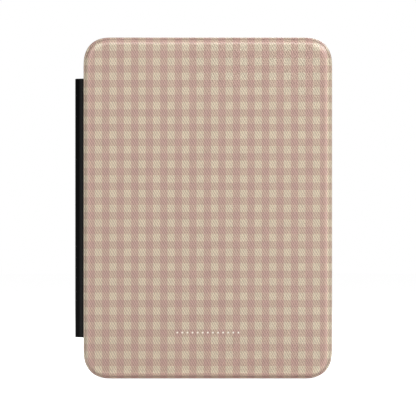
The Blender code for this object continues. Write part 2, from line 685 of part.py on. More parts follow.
def board_parts():
    """The main board with its chips, shield, sockets and sensor."""
    size = (106.0 * MM, 34.5 * MM, 4.0 * MM)
    centre = (0.0, -67.25 * MM)
    board = finish(plate("main_board", size, BOARD_LOW, BOARD_HIGH, centre=centre), "board_green")
    port_back = PORT_EDGE_Y + PORT_DEPTH + 0.75 * MM
    notch_half = PORT_WIDTH / 2 + 0.4 * MM
    hole_radius = 0.8 * MM
    notch = cutting_block(
        "port_notch_in_board",
        (-notch_half, PORT_EDGE_Y, READER_BACK),
        (notch_half, port_back, CHASSIS_TOP),
    )
    boolean(board, notch)
    for index, (x, y) in enumerate(STANDOFF_SPOTS, start=1):
        start, end = (x, y, READER_BACK), (x, y, CHASSIS_BOTTOM)
        boolean(board, rod(f"board_hole_{index}", hole_radius, start, end, collection=cutters))

    shield_low = (-40.0 * MM, -78.0 * MM, CHIP_BASE)
    shield_high = (-2.0 * MM, -54.0 * MM, CHIP_BASE + 1.0 * MM)
    shield = block("board_shield", shield_low, shield_high)
    sheet = 0.2 * MM
    hollow_low = (shield_low[0] + sheet, shield_low[1] + sheet, CHIP_BASE - THROUGH)
    hollow_high = (shield_high[0] - sheet, shield_high[1] - sheet, shield_high[2] - sheet)
    boolean(shield, cutting_block("shield_hollow", hollow_low, hollow_high))
    pieces = [board, finish(shield, "steel")]

    # Name, centre, and width, length and height, in millimetres.
    chips = (
        ("processor_chip", (-30.0, -66.0), (12.0, 12.0, 0.6)),
        ("memory_chip", (-12.0, -66.0), (11.5, 13.0, 0.6)),
        ("power_chip", (14.0, -62.0), (7.0, 7.0, 0.8)),
        ("hall_sensor", (HALL_SPOT[0] / MM, HALL_SPOT[1] / MM), (3.0, 3.0, 0.9)),
        ("battery_connector", (14.0, -53.0), (10.0, 3.0, 0.9)),
        ("display_connector", (23.0, -74.2), (30.0, 2.8, 0.8)),
    )
    for name, (x, y), (width, length, height) in chips:
        low = ((x - width / 2) * MM, (y - length / 2) * MM, CHIP_BASE)
        high = ((x + width / 2) * MM, (y + length / 2) * MM, CHIP_BASE + height * MM)
        pieces.append(finish(block(name, low, high), "chip_black"))
    return pieces


def battery_parts():
    """The pouch battery, the tape that holds it to the chassis, and its flat lead."""
    tape_high = CHASSIS_BOTTOM - GLUE_GAP
    tape_low = tape_high - 0.15 * MM
    pack_low, pack_high, pack_edge = HOUSING_FLOOR + 0.2 * MM, tape_low - GLUE_GAP, 0.7 * MM
    half_width, low_y, high_y = 34.0 * MM, -44.0 * MM, 48.0 * MM
    low, high = (-half_width, low_y, pack_low), (half_width, high_y, pack_high)
    pack = block("battery_pack", low, high, pack_edge)

    tape_inset = 10.0 * MM
    low = (-half_width + tape_inset, low_y + tape_inset, tape_low)
    high = (half_width - tape_inset, high_y - tape_inset, tape_high)
    tape = block("battery_tape", low, high)

    lead_z, lead_left, lead_right, lead_thickness = CHIP_BASE + 0.45 * MM, 10.0 * MM, 18.0 * MM, 0.3 * MM
    path = [(low_y - FIT_GAP, lead_z), (-51.2 * MM, lead_z)]
    lead = ribbon("battery_lead", path, lead_left, lead_right, lead_thickness)
    return [finish(pack, "battery_wrap"), finish(tape, "tape_white"), finish(lead, "flex_amber")]


def antenna_parts():
    """The aerial film behind the housing's top edge and its thin coaxial cable."""
    film_low, film_thickness = HOUSING_FLOOR + GLUE_GAP, 0.2 * MM
    half_width, low_y, high_y = 22.0 * MM, 74.0 * MM, 82.0 * MM
    low, high = (-half_width, low_y, film_low), (half_width, high_y, film_low + film_thickness)
    film = block("antenna_film", low, high)

    cable_z, cable_radius = HOUSING_FLOOR + 0.9 * MM, 0.4 * MM
    route = [(-24.0, 78.0), (-40.0, 78.0), (-50.0, 74.0), (-55.5, 66.0), (-55.5, -40.0), (-52.0, -48.5)]
    curve = bpy.data.curves.new("antenna_cable", "CURVE")
    curve.dimensions = "3D"
    curve.bevel_depth = cable_radius
    curve.bevel_resolution = 1
    curve.use_fill_caps = True
    spline = curve.splines.new("POLY")
    spline.points.add(len(route) - 1)
    for point, (x, y) in zip(spline.points, route):
        point.co = (x * MM, y * MM, cable_z, 1.0)
    cable = new_object("antenna_cable_path", curve, cutters)
    bpy.context.view_layer.update()
    return [finish(film, "flex_amber"), finish(as_mesh(cable, "antenna_cable"), "chip_black")]


def port_parts():
    """The charging socket, its seal, and the status light pipe."""
    mouth_y = PORT_EDGE_Y + 0.35 * MM
    back_y = mouth_y + PORT_DEPTH
    wall = 0.25 * MM
    shell = pill("port_shell", PORT_WIDTH, PORT_HEIGHT, mouth_y, back_y, 0.0)
    hollow = pill(
        "port_hollow",
        PORT_WIDTH - 2 * wall,
        PORT_HEIGHT - 2 * wall,
        mouth_y - THROUGH,
        back_y - wall,
        0.0,
        collection=cutters,
    )
    boolean(shell, hollow)
    half_width, half_height, setback = 3.35 * MM, 0.35 * MM, 0.8 * MM
    low = (-half_width, mouth_y + setback, PORT_Z - half_height)
    high = (half_width, back_y - wall - GLUE_GAP, PORT_Z + half_height)
    tongue = block("port_tongue", low, high)
    seal_low = PORT_EDGE_Y + HOUSING_WALL + GLUE_GAP
    seal_high = seal_low + 0.8 * MM
    rim = 0.9 * MM
    seal = pill("port_seal", PORT_WIDTH + rim, PORT_HEIGHT + rim, seal_low, seal_high, 0.0)
    seal_hole = pill(
        "port_seal_hole",
        PORT_WIDTH + FIT_GAP,
        PORT_HEIGHT + FIT_GAP,
        seal_low - THROUGH,
        seal_high + THROUGH,
        0.0,
        collection=cutters,
    )
    boolean(seal, seal_hole)
    pipe_radius, pipe_end = 0.6 * MM, -85.0 * MM
    start, end = (LIGHT_PIPE_X, PORT_EDGE_Y + GLUE_GAP, PORT_Z), (LIGHT_PIPE_X, pipe_end, PORT_Z)
    pipe = rod("status_light_pipe", pipe_radius, start, end)
    return [
        finish(shell, "steel"),
        finish(tongue, "chip_black"),
        finish(seal, "seal_rubber"),
        finish(pipe, "clear"),
    ]


def button_parts():
    """The power button: its moving cap, rubber boot and plunger, and the switch body they press."""
    cap_low, flange_low = PORT_EDGE_Y - 0.2 * MM, PORT_EDGE_Y + HOUSING_WALL + 0.15 * MM
    cap_high = flange_low + 0.6 * MM
    flange_high = cap_high - 0.1 * MM
    cap = pill("power_button_cap", BUTTON_WIDTH, BUTTON_HEIGHT, cap_low, cap_high, BUTTON_X)
    flange_size = (BUTTON_WIDTH + 1.6 * MM, BUTTON_HEIGHT + 1.0 * MM)
    flange = pill("button_flange", *flange_size, flange_low, flange_high, BUTTON_X, collection=cutters)
    boolean(cap, flange, "UNION")

    boot_low = cap_high + GLUE_GAP
    boot_high = boot_low + 0.5 * MM
    boot_size = (BUTTON_WIDTH + 1.0 * MM, BUTTON_HEIGHT + 0.4 * MM)
    boot = pill("button_boot", *boot_size, boot_low, boot_high, BUTTON_X)

    plunger_low = boot_high + GLUE_GAP
    plunger_tip = plunger_low + 2.0 * MM
    plunger_radius, bore_radius, bore_end = 0.75 * MM, 0.9 * MM, plunger_tip + 0.6 * MM
    start, end = (BUTTON_X, plunger_low, PORT_Z), (BUTTON_X, plunger_tip, PORT_Z)
    plunger = rod("switch_plunger", plunger_radius, start, end)

    half_width, half_height, body_low = 2.3 * MM, 1.0 * MM, plunger_low + 1.2 * MM
    body_high = body_low + 3.1 * MM
    low = (BUTTON_X - half_width, body_low, PORT_Z - half_height)
    high = (BUTTON_X + half_width, body_high, PORT_Z + half_height)
    body = block("switch_body", low, high)
    start, end = (BUTTON_X, body_low - THROUGH, PORT_Z), (BUTTON_X, bore_end, PORT_Z)
    boolean(body, rod("switch_bore", bore_radius, start, end, collection=cutters))
    moving = [finish(cap, "reader_plastic"), finish(boot, "seal_rubber"), finish(plunger, "tape_white")]
    return moving, finish(body, "chip_black")


def screw_mesh(shaft_length):
    """One small machine screw, head up, with its head's underside at height zero."""
    shaft, head, head_height, tip = 0.62 * MM, 1.25 * MM, 0.5 * MM, 0.2 * MM
    end = -shaft_length
    profile = [(0.0, head_height), (head - tip, head_height), (head, head_height - tip), (head, 0.0)]
    profile += [(shaft, 0.0), (shaft, end + tip), (shaft - tip, end), (0.0, end)]
    mesh = bpy.data.meshes.new("screw_profile")
    edges = [(i, i + 1) for i in range(len(profile) - 1)]
    mesh.from_pydata([(x, 0.0, z) for x, z in profile], edges, [])
    turned = new_object("screw_profile", mesh, cutters)
    modifier = turned.modifiers.new("turned", "SCREW")
    modifier.steps = modifier.render_steps = 12
    modifier.use_merge_vertices = True
    modifier.merge_threshold = 0.01 * MM
    socket = bmesh.new()
    radius, depth = 0.6 * MM, 0.3 * MM
    bmesh.ops.create_cone(
        socket, cap_ends=True, segments=6, radius1=radius, radius2=radius, depth=2 * depth
    )
    socket_mesh = bpy.data.meshes.new("hex_socket")
    socket.to_mesh(socket_mesh)
    socket.free()
    hexagon = new_object("hex_socket", socket_mesh, cutters)
    hexagon.location.z = head_height
    boolean(turned, hexagon)
    bpy.context.view_layer.update()
    graph = bpy.context.evaluated_depsgraph_get()
    made = bpy.data.meshes.new_from_object(turned.evaluated_get(graph))
    bpy.data.objects.remove(turned)
    bpy.data.objects.remove(hexagon)
    made.name = f"screw_{shaft_length / MM:.1f}mm"
    return made


def screws():
    """Eight screws hold the frame and chassis to the housing; four hold the board to the chassis."""
    frame_shaft, board_shaft, head_gap = 3.4 * MM, 2.2 * MM, 0.05 * MM
    frame_screw, board_screw = screw_mesh(frame_shaft), screw_mesh(board_shaft)
    pieces = []
    for index, (x, y) in enumerate(boss_spots(), start=1):
        screw = new_object(f"frame_screw_{index}", frame_screw)
        screw.location = (x, y, LEDGE_TOP + GLUE_GAP)
        pieces.append(finish(screw, "steel"))
    for index, (x, y) in enumerate(STANDOFF_SPOTS, start=1):
        screw = new_object(f"board_screw_{index}", board_screw)
        screw.location = (x, y, BOARD_LOW - head_gap)
        screw.rotation_euler = (math.pi, 0.0, 0.0)
        pieces.append(finish(screw, "steel"))
    return pieces


def frame_magnets():
    """Two magnets on the frame's ledge that pull the closed cover down."""
    low_z = LEDGE_TOP + GLUE_GAP
    high_z = low_z + 0.7 * MM
    half_width, half_length = 1.4 * MM, 7.0 * MM
    pieces = []
    for label, y in MAGNET_YS:
        low = (MAGNET_X - half_width, y - half_length, low_z)
        high = (MAGNET_X + half_width, y + half_length, high_z)
        pieces.append(finish(block(f"frame_magnet_{label}", low, high), "magnet"))
    return pieces


def build():
    clear_scene()
    tray_fold = pivot("tray_fold", fold_place(TRAY_FOLD))
    lower_fold = pivot("lower_fold", fold_place(LOWER_FOLD), tray_fold)
    upper_fold = pivot("upper_fold", fold_place(UPPER_FOLD), lower_fold)
    cover_fold = pivot("cover_fold", fold_place(COVER_FOLD), upper_fold)
    hang(strap_section("strap_lower_section", TRAY_FOLD, LOWER_FOLD), tray_fold)
    hang(strap_section("strap_middle_section", LOWER_FOLD, UPPER_FOLD), lower_fold)
    hang(strap_section("strap_upper_section", UPPER_FOLD, COVER_FOLD), upper_fold)
    for piece in cover_parts():
        hang(piece, cover_fold)

    button_travel = pivot("power_button_travel", (BUTTON_X, PORT_EDGE_Y, PORT_Z))
    button, switch = button_parts()
    for piece in button:
        hang(piece, button_travel)

    fixed = tray_parts() + [housing(), front_frame(), chassis(), switch]
    fixed += display_parts() + board_parts() + battery_parts() + antenna_parts() + port_parts()
    fixed += frame_magnets() + screws()
    stand = pivot("case_stand", (0.0, 0.0, 0.0))
    for piece in fixed + [tray_fold, button_travel]:
        hang(piece, stand)
    stand.rotation_euler.x = math.pi / 2


build()
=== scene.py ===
"""The looks of an e-reader in a checked folio case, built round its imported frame.

Pieces are modelled lying down: x runs across the case, y along its long side and z from its back
face to its cover. The last step for each piece stands it up into the frame, where the cover faces -Y.
"""

import json
import math

import bmesh
import bpy
from mathutils import Matrix, Vector


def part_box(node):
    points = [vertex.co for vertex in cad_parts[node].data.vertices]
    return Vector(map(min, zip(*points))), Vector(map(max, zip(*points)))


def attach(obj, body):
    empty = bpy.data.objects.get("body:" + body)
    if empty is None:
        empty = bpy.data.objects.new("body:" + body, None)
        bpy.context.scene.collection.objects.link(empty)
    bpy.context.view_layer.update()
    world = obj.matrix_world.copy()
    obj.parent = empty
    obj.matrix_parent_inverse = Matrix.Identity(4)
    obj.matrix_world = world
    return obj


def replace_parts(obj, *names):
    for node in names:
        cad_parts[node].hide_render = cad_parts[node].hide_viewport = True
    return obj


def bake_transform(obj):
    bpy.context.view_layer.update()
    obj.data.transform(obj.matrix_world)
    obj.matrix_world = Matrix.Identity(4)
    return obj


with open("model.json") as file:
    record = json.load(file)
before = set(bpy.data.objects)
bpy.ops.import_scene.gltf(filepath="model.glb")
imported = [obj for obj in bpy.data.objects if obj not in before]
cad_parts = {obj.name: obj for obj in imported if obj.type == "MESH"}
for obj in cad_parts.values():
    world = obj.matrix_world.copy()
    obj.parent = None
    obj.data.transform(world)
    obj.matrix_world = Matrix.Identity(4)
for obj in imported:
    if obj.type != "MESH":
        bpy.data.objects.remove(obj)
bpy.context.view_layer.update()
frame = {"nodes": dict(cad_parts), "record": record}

MM = 0.001
DIGITS = 6  # the frame's lengths in metres are rounded to this, to drop their single-precision noise
STAND_UP = Matrix.Rotation(math.pi / 2, 4, "X")
NOWHERE = (0.0, 0.0, 0.0)  # the surface place of a cutter, which is never seen

# Corners are superellipses. A corner's size is how far its curve reaches along a side.
CORNER_POWER = 2.5
CIRCLE_POWER = 2.0
CORNER_STEPS = 28
COVER_CORNER = 15.4 * MM
TRAY_CORNER = 15.1 * MM
LINING_CORNER = 8.15 * MM

# The cover's edge, from its flat face outwards: a wide round, a pressed groove and a narrow bead.
COVER_TOP, COVER_BOTTOM = [round(-corner.y, DIGITS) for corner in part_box("cover_skin")]
EDGE_RADIUS = 4.2 * MM
EDGE_END_ANGLE = 45.0
BEAD_RADIUS = 1.4 * MM
BEAD_START_ANGLE = 74.0
BEAD_DROP = 2.796 * MM
GROOVE = (1.13 * MM, COVER_TOP - 1.58 * MM)
# The print is painted darker in the groove, as shade where the edge folds in; the next two numbers say
# how much and how far.
GROOVE_PAINTED_SHADE = 0.3
GROOVE_SHADE_MM = 0.3  # how far the groove's painted shade reaches to each side
CREST_MM = 2.15  # from the groove to the crest of the round, where the leather is stretched and a highlight is painted
CREST_REACH_MM = 1.5  # how far the stretched part and its painted highlight reach to each side
CREST_PAINTED_HIGHLIGHT = 0.2  # how much paler the print is painted there: a painted highlight along the crest
CREST_FLATTENING = 0.6  # how much of the grain's relief is lost there
HEM_WIDTH = 7.0 * MM
HEM_THICKNESS = 0.7 * MM

# The printed check, and the embossed ridges of its grain.
CHECK_PITCH_X_MM, CHECK_PITCH_Y_MM = 7.695, 7.77
CHECK_SHIFT_X_MM, CHECK_SHIFT_Y_MM = -0.14, -0.11  # the print isn't quite central on the cover
CHECK_BLUR_MM = 0.22
GRAIN_SPACING_MM = 1.15
GRAIN_ANGLE = 60.0
GRAIN_DEPTH_MM = 0.14

# The strap. A fold is a hinge's place as (x, z), where the strap turns by FOLD_TURN degrees.
HINGES = [joint for joint in frame["record"]["behaviour"]["joints"] if joint["type"] == "hinge"]
FOLDS = [(hinge["pos_m"][0], -hinge["pos_m"][1]) for hinge in HINGES]
FOLD_TURN = 45.0
STRAP_LENGTH = 137.4 * MM
STRAP_THICKNESS = 0.8 * MM
STRAP_BEND_RADIUS = 3.5 * MM
STRAP_BOW = 0.3 * MM  # how far the leather bows out past its fold lines, midway up the spine
FLAP_END_X = -51.4 * MM
BAND_RUN = 20.0 * MM  # from one bend's middle to the next, in the strap's surface places
FOLD_HIGHLIGHT_RUN_MM = (len(FOLDS) - 1) * BAND_RUN / MM - 0.8  # a painted highlight: the leather is painted greyer by the cover's fold, where its bend faces the lights
FOLD_HIGHLIGHT_REACH_MM = 1.9
NOTCH_HALF = STRAP_LENGTH / 2 + 0.25 * MM  # half the length of the cuts that clear the strap's flaps
OUTSIDE_X, BELOW_Z, ABOVE_Z = -80.0 * MM, -5.0 * MM, 20.0 * MM  # well past the case, for cutters

# The clear layers over the screen: name, node, corner and bevelled edge in mm, alpha, roughness.
CLEAR_SHEETS = (
    ("lens_window", "front_lens", 11.9, 0.2, 0.08, 0.22),
    ("touch_sheet", "touch_film", 10.7, 0.03, 0.02, 0.3),
    ("light_sheet", "light_guide", 0.5, 0.05, 0.02, 0.25),
)

# The camera, the floor and the light, standing up in the frame.
CAMERA_DISTANCE = 2.5
CAMERA_SPAN = 220.35 * MM  # what the picture's width takes in at the cover's face
CAMERA_SIDE = 0.1 * MM  # how far right of the cover's middle the camera stands
FLOOR_Z = -90.5 * MM
FLOOR_HALF = 4.0
FLOOR_GLOW = 0.85  # brings the lit floor up to white, and only for the camera
WORLD_LIGHT = 0.15  # the strength of the white world as a light; the camera sees it at 1
SOFTBOXES = (  # name, place, width and height, power
    ("key", (0.9, -0.45, 0.85), (0.5, 0.5), 6.9),
    ("top", (0.0, -0.75, 0.55), (1.0, 0.25), 3.2),
    ("right", (0.55, -0.75, 0.0), (0.25, 1.0), 1.7),
    ("left", (-0.65, -0.65, 0.0), (0.2, 1.0), 1.7),
    ("overhead", (0.0, -0.02, 0.9), (1.0, 0.3), 1.2),
    ("behind", (0.35, 1.0, 0.8), (0.8, 0.8), 7.0),
)


# Shapes.

def outline(width, length, corner, steps=CORNER_STEPS, power=CORNER_POWER):
    """Corner points of a rounded rectangle, counter-clockwise from its +x side."""
    reach_x, reach_y = width / 2 - corner, length / 2 - corner
    points = []
    for side_x, side_y, swap in ((1, 1, False), (-1, 1, True), (-1, -1, False), (1, -1, True)):
        for step in range(steps + 1):
            angle = math.pi / 2 * step / steps
            along = corner * math.cos(angle) ** (2 / power)
            across = corner * math.sin(angle) ** (2 / power)
            dx, dy = (across, along) if swap else (along, across)
            points.append((side_x * (reach_x + dx), side_y * (reach_y + dy)))
    return points


def face_size(node, corner):
    """A CAD node's width, its length and the reach of its corners."""
    low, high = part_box(node)
    return round(high.x - low.x, DIGITS), round(high.z - low.z, DIGITS), corner


def arc(centre_inset, centre_z, radius, start, end, steps=8):
    """Profile points (inset, z) on an arc. Angles are in degrees from straight outwards."""
    points = []
    for step in range(steps + 1):
        angle = math.radians(start + (end - start) * step / steps)
        points.append((centre_inset - radius * math.cos(angle), centre_z + radius * math.sin(angle)))
    return points


def skin_over(name, loops, last_closed=True):
    """A solid through loops of (position, surface place) pairs; its last end can be left open."""
    shape = bmesh.new()
    place = shape.verts.layers.float_vector.new("surface_place")
    rows = []
    for loop in loops:
        row = []
        for position, surface_place in loop:
            vert = shape.verts.new(position)
            vert[place] = surface_place
            row.append(vert)
        rows.append(row)
    shape.faces.new(rows[0])
    if last_closed:
        shape.faces.new(rows[-1])
    for low, high in zip(rows, rows[1:]):
        for i, vert in enumerate(low):
            j = (i + 1) % len(low)
            shape.faces.new((vert, low[j], high[j], high[i]))
    bmesh.ops.recalc_face_normals(shape, faces=shape.faces)
    mesh = bpy.data.meshes.new(name)
    shape.to_mesh(mesh)
    shape.free()
    obj = bpy.data.objects.new(name, mesh)
    bpy.context.scene.collection.objects.link(obj)
    return obj


def lofted(name, size, profile, last_closed=True, groove=None):
    """A solid over one outline per profile point.

    Its surface place is the outline laid out flat and, where there is a groove, the distance to it.
    """
    width, length, corner = size
    loops = []
    unrolled = profile[0][0]
    last = profile[0]
    for inset, z in profile:
        unrolled -= math.hypot(inset - last[0], z - last[1])
        last = (inset, z)
        solid = outline(width - 2 * inset, length - 2 * inset, corner - inset)
        flat = outline(width - 2 * unrolled, length - 2 * unrolled, corner - unrolled)
        away = math.hypot(inset - groove[0], z - groove[1]) / MM if groove else 0.0
        loops.append([((x, y, z), (u / MM, v / MM, away)) for (x, y), (u, v) in zip(solid, flat)])
    return skin_over(name, loops, last_closed)


def carved(obj, tool):
    """Cuts a helper out of a piece, and removes the helper."""
    modifier = obj.modifiers.new("cut", "BOOLEAN")
    modifier.object = tool
    bpy.context.view_layer.update()
    graph = bpy.context.evaluated_depsgraph_get()
    mesh = bpy.data.meshes.new_from_object(obj.evaluated_get(graph))
    obj.modifiers.clear()
    obj.data = mesh
    bpy.data.objects.remove(tool)
    return obj


def block(low, high):
    """A box between two corners, used as a cutter."""
    corners = [(low[0], low[1]), (high[0], low[1]), (high[0], high[1]), (low[0], high[1])]
    return skin_over("cutter", [[((x, y, z), NOWHERE) for x, y in corners] for z in (low[2], high[2])])


def stood_up(obj, material):
    """Stands a lying piece up into the frame and gives it its finish."""
    obj.data.transform(STAND_UP)
    obj.data.shade_smooth()
    obj.data.set_sharp_from_angle(angle=math.radians(35))
    obj.data.materials.clear()
    obj.data.materials.append(material)
    return obj


# Material building blocks.

def linear(red, green, blue):
    """A screen colour, 0 to 255 per channel, as the linear colour that the renderer uses."""
    channels = []
    for value in (red, green, blue):
        level = value / 255
        channels.append(level / 12.92 if level <= 0.04045 else ((level + 0.055) / 1.055) ** 2.4)
    return (*channels, 1.0)


def shaded(colour, factor):
    """A colour made darker or lighter."""
    return (colour[0] * factor, colour[1] * factor, colour[2] * factor, 1.0)


def put(tree, socket, value):
    """Joins a socket to another node's output, or sets its plain value."""
    if isinstance(value, bpy.types.NodeSocket):
        tree.links.new(value, socket)
    else:
        socket.default_value = value


def maths(tree, operation, first, second=0.0, third=0.0):
    """One step of arithmetic on sockets or numbers."""
    node = tree.nodes.new("ShaderNodeMath")
    node.operation = operation
    for socket, value in zip(node.inputs, (first, second, third)):
        put(tree, socket, value)
    return node.outputs[0]


def clamped(tree, value):
    """A value kept between 0 and 1."""
    node = tree.nodes.new("ShaderNodeClamp")
    put(tree, node.inputs[0], value)
    return node.outputs[0]


def mixed(tree, factor, low, high):
    """A colour between two, at the factor's place."""
    node = tree.nodes.new("ShaderNodeMix")
    node.data_type = "RGBA"
    colour_inputs = [socket for socket in node.inputs if socket.type == "RGBA"]
    put(tree, node.inputs[0], factor)
    put(tree, colour_inputs[0], low)
    put(tree, colour_inputs[1], high)
    return next(socket for socket in node.outputs if socket.type == "RGBA")


def multiplied(tree, first, second):
    """Two colours multiplied, channel by channel."""
    node = tree.nodes.new("ShaderNodeVectorMath")
    node.operation = "MULTIPLY"
    put(tree, node.inputs[0], first)
    put(tree, node.inputs[1], second)
    return node.outputs[0]


def scaled(tree, colour, factor):
    """A colour times one number."""
    node = tree.nodes.new("ShaderNodeVectorMath")
    node.operation = "SCALE"
    put(tree, node.inputs[0], colour)
    put(tree, node.inputs["Scale"], factor)
    return node.outputs[0]


def noise(tree, place, size_mm, detail=2.0):
    """Smooth noise between 0 and 1, with lumps about size_mm across."""
    node = tree.nodes.new("ShaderNodeTexNoise")
    put(tree, node.inputs["Vector"], place)
    node.inputs["Scale"].default_value = 1 / size_mm
    node.inputs["Detail"].default_value = detail
    return node.outputs[0]


def parts_of(tree, place):
    """The x, y and z of a place."""
    node = tree.nodes.new("ShaderNodeSeparateXYZ")
    put(tree, node.inputs[0], place)
    return node.outputs


def surface_place(tree):
    """Millimetres over the flattened surface, stored on the piece."""
    node = tree.nodes.new("ShaderNodeAttribute")
    node.attribute_name = "surface_place"
    return node.outputs["Vector"]


def body_place(tree, stretch=(1.0, 1.0, 1.0)):
    """Millimetres in the piece's own space; a stretch below 1 draws the texture out along that axis."""
    source = tree.nodes.new("ShaderNodeTexCoord")
    scale = tree.nodes.new("ShaderNodeVectorMath")
    scale.operation = "MULTIPLY"
    put(tree, scale.inputs[0], source.outputs["Object"])
    scale.inputs[1].default_value = [factor / MM for factor in stretch]
    return scale.outputs[0]


def raised(tree, height, depth_mm, strength=1.0):
    """A normal for a surface whose height, 0 to 1, stands for depth_mm of relief."""
    node = tree.nodes.new("ShaderNodeBump")
    put(tree, node.inputs["Strength"], strength)
    node.inputs["Distance"].default_value = depth_mm * MM
    put(tree, node.inputs["Height"], height)
    return node.outputs[0]


def surface(material, colour, roughness, metallic=0.0, normal=None, **extra):
    """Fills in the material's main shader."""
    tree = material.node_tree
    shader = tree.nodes["Principled BSDF"]
    put(tree, shader.inputs["Base Color"], colour)
    put(tree, shader.inputs["Roughness"], roughness)
    put(tree, shader.inputs["Metallic"], metallic)
    if normal is not None:
        put(tree, shader.inputs["Normal"], normal)
    for name, value in extra.items():
        put(tree, shader.inputs[name.replace("_", " ")], value)
    return material


CLEAR_TINT = linear(225, 228, 228)


def new_material(name):
    """A node material and its tree."""
    material = bpy.data.materials.new(name)
    material.use_nodes = True
    return material, material.node_tree


def mottled(name, colour, roughness, metallic=0.0, grain_mm=0.3, depth_mm=0.01, contrast=0.12, **more):
    """Plain stuff with the unevenness it has close up: patchy tone and shine, and a fine grain."""
    material, tree = new_material(name)
    place = body_place(tree, more.pop("stretch", (1.0, 1.0, 1.0)))
    patch_mm, patch_detail, roughness_spread = 14 * grain_mm, 3.0, 0.16
    grain = noise(tree, place, grain_mm)
    patches = noise(tree, place, patch_mm, patch_detail)
    both = maths(tree, "ADD", maths(tree, "MULTIPLY", grain, 0.5), maths(tree, "MULTIPLY", patches, 0.5))
    tone = clamped(tree, both)
    base = mixed(tree, tone, shaded(colour, 1 - contrast), shaded(colour, 1 + contrast))
    shine = maths(tree, "MULTIPLY_ADD", patches, roughness_spread, roughness - roughness_spread / 2)
    return surface(material, base, shine, metallic, raised(tree, grain, depth_mm), **more)


# The finishes.

def stripe(tree, coordinate, pitch_mm, shift_mm, sign):
    """1 inside the print's rose stripes and 0 between them, with slightly soft edges.

    A sign of 1 puts a stripe on the print's middle line, and -1 puts a gap there.
    """
    per_mm = 2 * math.pi / pitch_mm
    wave = maths(tree, "COSINE", maths(tree, "MULTIPLY_ADD", coordinate, per_mm, -per_mm * shift_mm))
    steepness = sign / (per_mm * CHECK_BLUR_MM)
    return clamped(tree, maths(tree, "MULTIPLY_ADD", wave, steepness, 0.5))


def ridges(tree, place, angle, spacing_mm):
    """Parallel ridges of the given slope, 0 in the furrows and 1 on the crests."""
    x, y, _ = parts_of(tree, place)
    across = maths(tree, "MULTIPLY", x, math.sin(math.radians(angle)))
    across = maths(tree, "MULTIPLY_ADD", y, math.cos(math.radians(angle)), across)
    wave = maths(tree, "COSINE", maths(tree, "MULTIPLY", across, 2 * math.pi / spacing_mm))
    return maths(tree, "MULTIPLY_ADD", wave, 0.5, 0.5)


def wandering(tree, place, reach_mm, size_mm):
    """A place pushed about by noise, so that ridges drawn on it wander."""
    push = tree.nodes.new("ShaderNodeTexNoise")
    put(tree, push.inputs["Vector"], place)
    push.inputs["Scale"].default_value = 1 / size_mm
    centred = tree.nodes.new("ShaderNodeVectorMath")
    centred.operation = "MULTIPLY_ADD"
    put(tree, centred.inputs[0], push.outputs["Color"])
    centred.inputs[1].default_value = (2 * reach_mm,) * 3
    put(tree, centred.inputs[2], place)
    return centred.outputs[0]


def cross_grain(tree, place):
    """The height of an embossed cross-hatched leather grain, 0 to 1."""
    wander_mm, wander_size_mm, patch_mm, pore_mm = 0.35, 2.5, 4.0, 0.25
    falling_share, rising_share, pore_share = 0.75, 0.7, 0.25
    loose = wandering(tree, place, wander_mm, wander_size_mm)
    falling = ridges(tree, loose, GRAIN_ANGLE, GRAIN_SPACING_MM)
    rising = ridges(tree, loose, -GRAIN_ANGLE, GRAIN_SPACING_MM)
    patches = noise(tree, place, patch_mm)
    share = maths(tree, "MULTIPLY", rising, maths(tree, "MULTIPLY", patches, rising_share))
    weave = maths(tree, "ADD", maths(tree, "MULTIPLY", falling, falling_share), share)
    pores = noise(tree, place, pore_mm)
    return maths(tree, "MULTIPLY_ADD", pores, pore_share, weave)


def check_leather():
    """Printed leather: a cream and dusty rose check under a cross-hatched grain, with painted shade in
    the edge's groove and a painted highlight along its crest.
    """
    material, tree = new_material("check_leather")
    place = surface_place(tree)
    bleed_mm, bleed_size_mm = 0.06, 1.2
    x, y, _ = parts_of(tree, wandering(tree, place, bleed_mm, bleed_size_mm))
    upright = stripe(tree, x, CHECK_PITCH_X_MM, CHECK_SHIFT_X_MM, 1)
    level = stripe(tree, y, CHECK_PITCH_Y_MM, CHECK_SHIFT_Y_MM, -1)
    cream, rose = linear(202, 187, 163), linear(186, 156, 139)
    rose_level, crossing = linear(188, 163, 143), linear(179, 143, 131)
    between_rows = mixed(tree, upright, cream, rose)
    in_rows = mixed(tree, upright, rose_level, crossing)
    printed = mixed(tree, level, between_rows, in_rows)
    height = cross_grain(tree, place)
    in_furrows, on_ridges = (0.57, 0.56, 0.55, 1.0), (1.28, 1.28, 1.28, 1.0)
    grained = mixed(tree, clamped(tree, height), in_furrows, on_ridges)
    from_groove = parts_of(tree, place)[2]
    # Painted shade: the print is darkened in and beside the edge's groove, where shade falls.
    fade = GROOVE_PAINTED_SHADE / GROOVE_SHADE_MM
    groove_painted_shade = clamped(tree, maths(tree, "MULTIPLY_ADD", from_groove, fade, 1 - GROOVE_PAINTED_SHADE))
    # Painted highlight: the print is made paler along the round's crest, where light catches the edge;
    # the same mask also flattens the grain's relief there.
    from_crest = maths(tree, "ABSOLUTE", maths(tree, "SUBTRACT", from_groove, CREST_MM))
    stretch_and_painted_highlight = clamped(tree, maths(tree, "MULTIPLY_ADD", from_crest, -1 / CREST_REACH_MM, 1.0))
    painted_crest_highlight = maths(tree, "MULTIPLY_ADD", stretch_and_painted_highlight, CREST_PAINTED_HIGHLIGHT, 1.0)
    # Painted light: the groove's painted shade times the crest's painted highlight.
    painted_light = maths(tree, "MULTIPLY", groove_painted_shade, painted_crest_highlight)
    tinted = scaled(tree, multiplied(tree, printed, grained), painted_light)
    patch_mm, roughness, roughness_spread = 6.0, 0.3, 0.1
    shine = maths(tree, "MULTIPLY_ADD", noise(tree, place, patch_mm), roughness_spread, roughness)
    varnish = {"Coat_Weight": 1.0, "Coat_Roughness": 0.38, "Coat_IOR": 1.7}
    relief = maths(tree, "MULTIPLY_ADD", stretch_and_painted_highlight, -CREST_FLATTENING, 1.0)
    normal = raised(tree, height, GRAIN_DEPTH_MM, relief)
    return surface(material, tinted, shine, normal=normal, **varnish)


